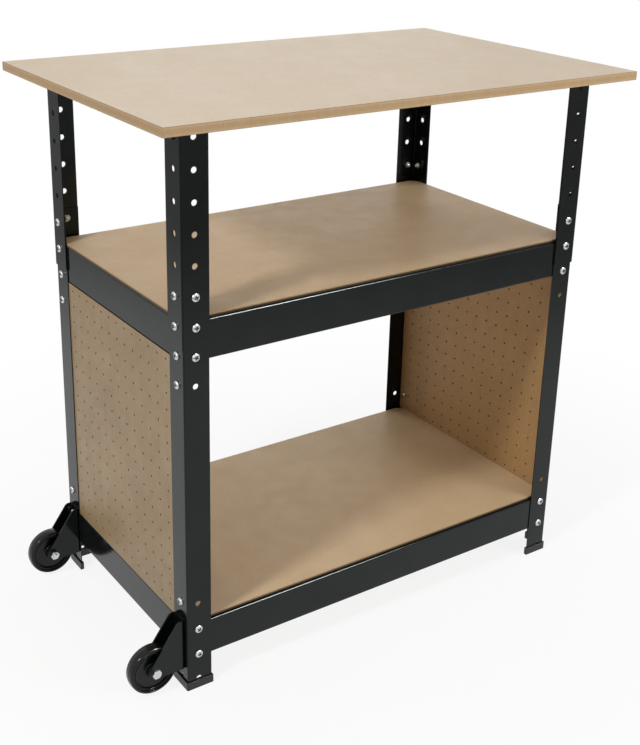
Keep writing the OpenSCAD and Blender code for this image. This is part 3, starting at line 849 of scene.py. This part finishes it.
@dataclass(frozen=True)
class CrossHead:
    """A domed head with a cross recess, on the plane Z = 0.

    Attributes:
        rim: Height of the straight rim.
        reach: Distance from the middle to the recess's ends.
        arm: Half of an arm's width.
        wall: How far the recess's walls lean in.
        deep: Depth of the recess.
    """

    r: float
    h: float
    rim: float
    reach: float
    arm: float
    wall: float = 0.32
    deep: float = 2.4

    def shape(self) -> Shape:
        """Returns the head as a height over a polar grid whose lines bend along the recess's arms.

        The dome is a superellipse, rim + (h - rim) sqrt(1 - (r / R)^2.6). The recess's floor rises to the
        arms' ends. A line along an arm's edge has the angle asin(half width / r), and eases into even steps.
        """
        inner, outer = self.arm * math.sqrt(2), (self.arm + self.wall) * math.sqrt(2)
        past = self.reach + (self.r - self.reach) * np.sin(np.linspace(0, np.pi / 2, 8))[1:]
        radius = np.concatenate([[0.001, inner * 0.6, inner, outer, (outer + self.reach - self.wall) / 2,
                                  self.reach - self.wall, self.reach], past])[:, None]
        edge_in, edge_out = (np.degrees(np.arcsin(np.minimum(math.sqrt(0.5), width / radius)))
                             for width in (self.arm, self.arm + self.wall))
        land = edge_out + (90 - 2 * edge_out) * np.linspace(0, 1, 5)
        quarter = np.concatenate([0 * edge_in, edge_in, land, 90 - edge_in], 1)
        ease = np.clip((radius - self.reach) / (self.r - self.reach) * 1.5, 0, 1)
        quarter = quarter * (1 - ease) + np.arange(8) * 90 / 8 * ease
        angle = np.radians(np.concatenate([quarter + 90 * k for k in range(4)], 1))
        bulge = np.maximum(0, 1 - np.minimum(radius / self.r, 1) ** 2.6)
        dome = self.rim + (self.h - self.rim) * np.sqrt(bulge)
        floor = self.h - self.deep * (1 - 0.55 * radius / self.reach)
        in_arm = np.tile(np.array([1, 1, 0, 0, 0, 0, 0, 1], bool), 4)
        sunk = (in_arm & (radius < self.reach - 0.001)) | (radius < outer - 0.001)
        top = np.stack([radius * np.cos(angle), radius * np.sin(angle), np.where(sunk, floor, dome)], -1)
        low, beside = top[-1] * [1, 1, 0], np.roll(sunk, -1, 1)
        # Faces in and beside the recess take the second finish; on zinc heads its grey is painted shade.
        tags = np.zeros((len(top) + 2, top.shape[1]), int)
        tags[:len(top) - 1] = sunk[:-1] | sunk[1:] | beside[:-1] | beside[1:]
        return grid(np.concatenate([top, np.stack([low, low * 0.3, low * 0])]), tags=tags)


def thread(r: float, start: float, end: float, steps: int = 20, pitch: float = 1.25) -> Shape:
    """Makes a threaded shank's end, closed below and open at its start.

    Its radius is a wave that climbs one pitch a turn, r - depth (1 - cos(2 pi z / pitch - t)) / 2, drawn in
    over the last half pitch.

    Args:
        r: Outer radius.
        start: Height at which it begins.
        end: Height of its end, below start.
        steps: Points round.
        pitch: Distance between two crests.

    Returns:
        The surface.
    """
    rows = max(3, round((start - end) / pitch * 6))
    z = np.linspace(start, end, rows + 1)[:, None]
    t = np.arange(steps)[None] * 2 * np.pi / steps
    depth, taper = 0.6 * pitch, 0.35 * pitch
    wave = r - depth * (1 - np.cos(2 * np.pi * z / pitch - t)) / 2
    drawn = wave - taper * np.clip(1 - (z - end) / (0.5 * pitch), 0, 1)
    points = np.stack([drawn * np.cos(t), drawn * np.sin(t), z + 0 * t], -1)
    return grid(np.concatenate([points, points[-1:] * [0, 0, 1]]))


def hexagon_block(flats: float, h: float, bore: float, at: float = 0.0, both: bool = True,
                  steps: int = 48) -> Shape:
    """Makes a hexagon nut or head.

    Its radius is a / cos(t), with t within 30 degrees of the nearest flat, and two flats face along Y. A
    cone cuts its corners: from 0.94 a outwards, the height falls by tan 30.

    Args:
        flats: Width across the flats.
        h: Height.
        bore: Bore radius, or 0 for a solid head.
        at: Height of its underside.
        both: True to chamfer the underside too.
        steps: Points round.

    Returns:
        The surface.
    """
    t = np.arange(steps) * 2 * np.pi / steps
    corner = flats / 2 / np.cos(t % (math.pi / 3) - math.pi / 6)
    start = flats / 2 * 0.94
    drop = (corner - start) * math.tan(math.pi / 6)
    flat, even = np.full(steps, start), np.zeros(steps)
    under, over = (bore + 0.3, bore + 0.35) if bore else (0.0, 0.0)
    rows = [(even + under, even), (flat, even), (corner, drop if both else even),
            (corner, h - drop), (flat, even + h), (even + over, even + h)]
    if bore:
        rows += [(even + bore, even + h - 0.5), (even + bore, even + 0.5), rows[0]]
    return grid(np.stack([np.stack([r * np.cos(t), r * np.sin(t), at + z], -1) for r, z in rows]))


@dataclass
class FrameBolt:
    """A domed bolt with a cross recess, whose thread begins after a plain length and shows past its nut."""

    head: CrossHead = CrossHead(r=6.0, h=3.9, rim=1.17, reach=3.4, arm=0.85)
    d: float = 6.0
    length: float = 12.0
    plain: float = 3.0
    lap: float = 0.2

    def shape(self) -> Shape:
        """Returns the head on Z = 0, its plain shank and its thread."""
        neck = self.d / 2 - self.lap
        shank = turned(np.array([(neck, self.lap), (neck, -self.plain - self.lap)]), 20)
        return Shape.joined([self.head.shape(), shank, thread(self.d / 2, -self.plain, -self.length)])


@dataclass
class FastenerGroup:
    """A group of like fasteners that stands for one CAD node.

    Attributes:
        one: The surface of one fastener.
        free: True where each is turned by chance, as a driver leaves it.
        sharp: Angle in degrees above which an edge stays sharp.
        finishes: Their finish, and that of their recesses, which on zinc heads is painted shade.
    """

    node: str
    one: Shape
    seats: Seats
    free: bool = True
    sharp: float = SHARP
    finishes: tuple[Finish, Finish] = (BRIGHT_ZINC, RECESS_PAINTED_SHADE_ZINC)
    slot: Slot = Slot.ZINC

    def build(self) -> None:
        """Builds the group as one object."""
        chance = np.random.default_rng(sum(map(ord, self.node)))
        turns = chance.uniform(0, 2 * np.pi, len(self.seats.centres)) * self.free
        shape = self.seats.place(self.one, turns)
        piece = mesh_object(f"threaded_{self.node}", shape, self.finishes, self.sharp)
        settle(piece, Body.CART, self.slot, self.node)


# Wheels


@dataclass
class TipWheel:
    """One wheel with its axle: bolt, nut and sleeve, in the sizes of the part's source.

    The tread rises by its crown to the middle. Inside its band lies a groove, a ring stands at the
    groove's inner edge, and a web runs from there to the hub. axle_out and wheel_in are measured from the
    posts' outer faces, fork_over spans both cheeks, and tail is the length of thread past the nut.
    """

    end: End
    body: Body
    d: float = 75.0
    crown: float = 0.5
    shoulder: float = 3.5
    width: float = 19.5
    band: float = 5.0
    hub_w: float = 23.2
    hub_d: float = 22.0
    web_t: float = 8.0
    groove_w: float = 2.6
    groove_deep: float = 2.8
    ring_w: float = 1.5
    ring_deep: float = 1.6
    bore_r: float = 6.06
    sleeve_r: float = 6.0
    sleeve_bore_r: float = 4.15
    sleeve_half: float = 12.0
    sleeve_edge: float = 0.3
    axle_r: float = 4.0
    axle_z: float = 44.0
    axle_out: float = 47.0
    wheel_in: float = 23.0
    fork_over: float = 28.0
    flats: float = 13.0
    head_h: float = 5.3
    nut_h: float = 6.5
    tail: float = 2.5

    def wheel(self) -> Shape:
        """Returns the wheel, turned about its axle.

        Its profile of radius and height runs from the bore out to the tread's middle, with every edge
        rounded, and then mirrored back.
        """
        half, hub, web, tread = self.width / 2, self.hub_w / 2, self.web_t / 2, self.d / 2
        bore, groove = self.bore_r, tread - self.band
        ring = groove - self.groove_w
        floor_z, ring_z = half - self.groove_deep, half - self.ring_deep
        crest = ring - self.ring_w / 2
        profile = np.concatenate([
            [(bore, 0), (bore, hub - 0.4), (bore + 0.3, hub - 0.05), (bore + 0.9, hub)],
            arc((self.hub_d / 2 - 0.9, hub - 0.9), 0.9, 90, 0),
            arc((self.hub_d / 2 + 1.4, web + 1.4), 1.4, 180, 270),
            [(ring - 2 * self.ring_w - 2.2, web + 0.35)],
            arc((crest - self.ring_w - 0.9, web + 1.3), 0.9, 290, 345, 3),
            arc((crest, ring_z - 0.75), 0.75, 160, 20, 5),
            arc((ring + 0.55, floor_z + 0.5), 0.5, 200, 270, 3),
            arc((groove - 0.6, floor_z + 0.5), 0.5, 270, 350, 3),
            arc((groove + 0.55, half - 0.55), 0.55, 180, 90, 3),
            arc((tread - self.crown - self.shoulder, half - self.shoulder), self.shoulder, 90, 12, 8),
            [(tread - self.crown * 0.25, half / 4), (tread, 0.45), (tread + 0.12, 0.15)]])
        return turned(np.concatenate([profile, profile[::-1] * [1, -1]]), 96)

    def bolt(self) -> Shape:
        """Returns the axle bolt: a hexagon head outside one cheek and a thread past the other."""
        over = self.fork_over / 2
        head = hexagon_block(self.flats, self.head_h, 0, over, both=False)
        shank = turned(np.array([(self.axle_r, over + 0.2), (self.axle_r, -over - 0.5)]), 32)
        tail = thread(self.axle_r, -over - 0.5, -over - self.nut_h - self.tail, 32)
        return Shape.joined([head, shank, tail])

    def sleeve(self) -> Shape:
        """Returns the sleeve: a tube with chamfered ends."""
        bore, r, h, e = self.sleeve_bore_r, self.sleeve_r, self.sleeve_half, self.sleeve_edge
        upper = np.array([(bore, h - e), (bore + e, h), (r - e, h), (r, h - e)])
        return turned(np.concatenate([upper, upper[::-1] * [1, -1], upper[:1]]), 48)

    def at_axle(self, shape: Shape) -> Shape:
        """Returns a surface, drawn about Z with the outward side up, on this wheel's axle."""
        e, (x, y, z) = self.end.value, shape.points.T
        centre = [PLAN.frame_x - PLAN.frame_l / 2 - self.axle_out,
                  e * (PLAN.frame_d / 2 - self.wheel_in), self.axle_z]
        return Shape(np.stack([x, e * z, -e * y], -1) + centre, shape.quads, shape.tags)

    def build(self) -> None:
        """Builds the wheel and its axle's three pieces; the nut is on the inner cheek."""
        nut = hexagon_block(self.flats, self.nut_h, self.axle_r, -self.fork_over / 2 - self.nut_h)
        for how, what, shape, finish, sharp, body, slot in (
                ("turned", "wheel", self.wheel(), WHEEL_BLACK, SHARP, self.body, Slot.WHEEL),
                ("forged", "axle_bolt", self.bolt(), BRIGHT_ZINC, NUT_SHARP, Body.CART, Slot.ZINC),
                ("forged", "axle_nut", nut, BRIGHT_ZINC, NUT_SHARP, Body.CART, Slot.ZINC),
                ("drawn", "axle_sleeve", self.sleeve(), BRIGHT_ZINC, SHARP, Body.CART, Slot.ZINC)):
            node = f"{self.end.name.lower()}_{what}"
            settle(mesh_object(f"{how}_{node}", self.at_axle(shape), [finish], sharp), body, slot, node)


# Studio


@dataclass(frozen=True)
class Lamp:
    """A square soft box that faces the cart's middle; place and size are in metres, power is in watts."""

    name: str
    place: Triple
    size: float
    power: float
    role: Role = Role.BOTH

    def build(self) -> Object:
        """Builds the lamp."""
        data = bpy.data.lights.new(self.name, "AREA")
        data.size, data.energy = self.size, self.power
        made = in_scene(self.name, data)
        made.location = self.place
        made.rotation_euler = (Vector(self.place) - MIDDLE).to_track_quat("Z", "Y").to_euler()
        made.visible_glossy = self.role is not Role.LIGHT
        made.visible_diffuse = self.role is not Role.REFLECTION
        return made


# The key draws the posts' shadows on the shelves, and the others fill in from the sides and the back
LAMPS = (
    Lamp("key_softbox", (-3.40, -1.02, 3.20), 0.55, 84),
    Lamp("overhead_softbox", (1.75, -0.1, 3.2), 0.4, 7),
    Lamp("back_softbox", (-0.5, 3.0, 0.5), 1.2, 48, Role.LIGHT),
    Lamp("sheen_softbox", (1.6, 2.6, 0.9), 1.4, 6),
    Lamp("fill_softbox", (1.6, -2.9, 0.85), 1.7, 62, Role.LIGHT),
)
# The rim draws thin white lines along the beams' upper bends
RIM = Lamp("rim_softbox", (1.5, -1.4, 3.2), 0.9, 270, Role.REFLECTION)
RIM_FINISHES = (BLACK_COAT, WHEEL_BLACK, CAP_BLACK, BRIGHT_ZINC, BLACK_OXIDE)


@dataclass
class Studio:
    """Camera, lamps, world and floor.

    The camera stands at an azimuth, 0 looking along +Y, at a distance from its target. Its focal length and
    the place of its axis are in pixels of the photograph. The world lights at world_level but shows white.

    Attributes:
        fade: Distances over which the floor fades into the white world, in metres.
        glow: Share of white in the floor that is seen beside the cart.
        dusk: Distances over which the floor grows grey in reflections, in metres.
        dusk_share: How much of its white it loses there.
    """

    azimuth: float = -34.720
    elevation: float = 19.907
    roll: float = 1.339
    focal_px: float = 1208.61
    middle_px: Pair = (309.91, 283.10)
    target: Triple = (36.71, 50.04, 482.96)
    distance: float = 2000.0
    image: tuple[int, int] = (640, 745)
    sensor: float = 36.0
    world_level: float = 0.38
    floor_r: float = 6.0
    fade: Pair = (0.5, 1.3)
    glow: float = 0.85
    dusk: Pair = (1.0, 2.3)
    dusk_share: float = 0.6

    def camera(self) -> None:
        """Adds the camera at the photograph's viewing angle."""
        data = bpy.data.cameras.new("camera")
        width, height = self.image
        data.sensor_width = self.sensor
        data.lens = self.focal_px * self.sensor / height
        data.shift_x = (width / 2 - self.middle_px[0]) / height
        data.shift_y = (self.middle_px[1] - height / 2) / height
        place = Matrix.Translation(Vector(self.target) * MM)
        for angle, axis in ((self.azimuth, "Z"), (90 - self.elevation, "X"), (self.roll, "Z")):
            place @= Matrix.Rotation(math.radians(angle), 4, axis)
        made = in_scene("camera", data)
        made.matrix_world = place @ Matrix.Translation((0, 0, self.distance * MM))
        bpy.context.scene.camera = made

    def seen(self, tree: Tree) -> Socket:
        """Returns 1 for rays from the camera, a reflection or clear stuff, and 0 for others."""
        path = add(tree, "ShaderNodeLightPath").outputs
        either = reckon(tree, "MAXIMUM", path["Is Camera Ray"], path["Is Glossy Ray"])
        return reckon(tree, "MAXIMUM", either, path["Is Transmission Ray"])

    def world(self) -> None:
        """Adds an even world that lights at a plain level and shows white."""
        world = bpy.data.worlds.new("studio")
        tree = empty_tree(world)
        strength = ramp(tree, self.seen(tree), (0.0, 1.0), (self.world_level, 1.0))
        background = add(tree, "ShaderNodeBackground", {"Color": WHITE, "Strength": strength})
        add(tree, "ShaderNodeOutputWorld", {"Surface": background.outputs["Background"]})
        bpy.context.scene.world = world

    def floor(self) -> None:
        """Adds the pale floor, which keeps the cart's shadow and fades into the white world.

        The steel mirrors it white near the cart, and greyer from where a studio's paper sweep ends.
        """
        material = bpy.data.materials.new("pale_matt_floor")
        tree = empty_tree(material)
        where = add(tree, "ShaderNodeTexCoord").outputs["Object"]
        far = add(tree, "ShaderNodeVectorMath", {0: where}, operation="LENGTH").outputs["Value"]
        white = ramp(tree, far, self.fade, (self.glow, 1.0), "SMOOTHSTEP")
        share = reckon(tree, "MULTIPLY", white, self.seen(tree))
        mirrored = add(tree, "ShaderNodeLightPath").outputs["Is Glossy Ray"]
        grey = ramp(tree, far, self.dusk, (0.0, self.dusk_share), "SMOOTHSTEP")
        strength = reckon(tree, "SUBTRACT", 1.0, reckon(tree, "MULTIPLY", mirrored, grey))
        matt = add(tree, "ShaderNodeBsdfDiffuse", {"Color": PALE}).outputs["BSDF"]
        lit = add(tree, "ShaderNodeEmission", {"Color": WHITE, "Strength": strength}).outputs["Emission"]
        mixed = add(tree, "ShaderNodeMixShader", {0: share, 1: matt, 2: lit}).outputs["Shader"]
        add(tree, "ShaderNodeOutputMaterial", {"Surface": mixed})
        made = mesh_object("floor", turned(np.array([(0.0, 0.0), (self.floor_r / MM, 0.0)]), 64), [])
        made.data.materials.append(material)

    def build(self) -> None:
        """Builds the studio."""
        self.camera()
        self.world()
        self.floor()
        for lamp in LAMPS:
            lamp.build()
        bpy.context.scene.view_settings.view_transform = "Standard"

    def rim(self) -> None:
        """Builds the rim lamp, kept to the glossy pieces as black flags do, so the boards don't glare."""
        names = {finish.name for finish in RIM_FINISHES}
        lit = bpy.data.collections.new(f"{RIM.name}_pieces")
        for piece in bpy.context.scene.objects:
            if piece.type == "MESH" and any(m and m.name in names for m in piece.data.materials):
                lit.objects.link(piece)
        RIM.build().light_linking.receiver_collection = lit


# The cart


def build_boards() -> None:
    """Builds the top, the shelves and the panels."""
    Board("top_board", TOP_FACE, Slot.TOP, 1.5).build()
    for node, face in (("upper_shelf_board", UPPER_SHELF_FACE_PAINTED_SHADE), ("lower_shelf_board", LOWER_SHELF_FACE_PAINTED_LIGHT)):
        # The shelves' edges get painted shade in their lower half, behind the beams' bends.
        Board(node, face, Slot.SHELF, 2.0, "#a1845f", painted_gap_shade=0.9, clip=12.0, ease=0.3).build()
    Pegboard("left_pegboard", Side.LEFT, 18.4).build()
    Pegboard("right_pegboard", Side.RIGHT, 11.8).build()


def build_steel() -> None:
    """Builds the posts, brackets, caps and beams, and the wheels in their forks."""
    for corner in (f"{end.name.lower()}_{side.name.lower()}" for end in End for side in Side):
        for kind in ("lower_post", "upper_post", "top_bracket"):
            EasedSheet(f"{kind}_{corner}").build()
        EasedSheet(f"foot_cap_{corner}", 0.5, CAP_BLACK, Slot.CAP).build()
    for level in ("upper", "lower"):
        for side in ("front", "back", "left", "right"):
            EasedSheet(f"{level}_{side}_beam").build()
    for end in End:
        EasedSheet(f"{end.name.lower()}_wheel_bracket").build()
        TipWheel(end, Body(f"{end.name.lower()}_wheel")).build()


def build_fasteners() -> None:
    """Builds the bolts and nuts, two groups for each joint of the frame, and the wood screws."""
    p, on, short = PLAN, Seats.on_posts, (Leg.SHORT,)
    bolt, nut = FrameBolt().shape(), hexagon_block(p.nut_flats, p.nut_h, p.nut_bore_r)
    lap = p.upper_row + 1
    foot, panel, top = (p.lower_row, p.lower_row + 1), (p.lower_row + 2, p.upper_row - 1), (p.top_row,)
    inner = -p.post_t - p.nut_h
    zinc, black = ((BRIGHT_ZINC, RECESS_PAINTED_SHADE_ZINC), Slot.ZINC), ((BLACK_OXIDE, BLACK_OXIDE), Slot.BLACK_BOLT)
    for joint, heads, plate, nuts, free in (
            ("splice", on((lap + 1,), p.post_t), zinc, on((lap + 1,), inner), False),
            ("upper_beam", on((p.upper_row,), 0.0).together(on((lap,), p.post_t)), zinc,
             on((p.upper_row, lap), inner - p.beam_t), False),
            ("lower_beam", on(foot, 0.0, left_more=p.fork_t), zinc, on(foot, inner - p.beam_t), False),
            ("pegboard", on(panel, 0.0, short), zinc, on(panel, inner - p.peg_t, short), True),
            ("top_bracket", on(top, p.post_t, short), black, on(top, -p.bracket_t - p.nut_h, short), True)):
        FastenerGroup(f"{joint}_bolts", bolt, heads, True, SHARP, *plate).build()
        FastenerGroup(f"{joint}_nuts", nut, nuts, free, NUT_SHARP).build()
    screw = CrossHead(r=3.5, h=2.45, rim=0.8, reach=2.0, arm=0.45, wall=0.2, deep=1.3)
    FastenerGroup("wood_screws", screw.shape(), Seats.under_top()).build()


def main() -> None:
    """Builds the studio and every piece of the cart."""
    logging.basicConfig(level=logging.INFO, format="%(name)s: %(message)s")
    studio = Studio()
    studio.build()
    build_boards()
    build_steel()
    build_fasteners()
    studio.rim()


if __name__ == "__main__":
    main()
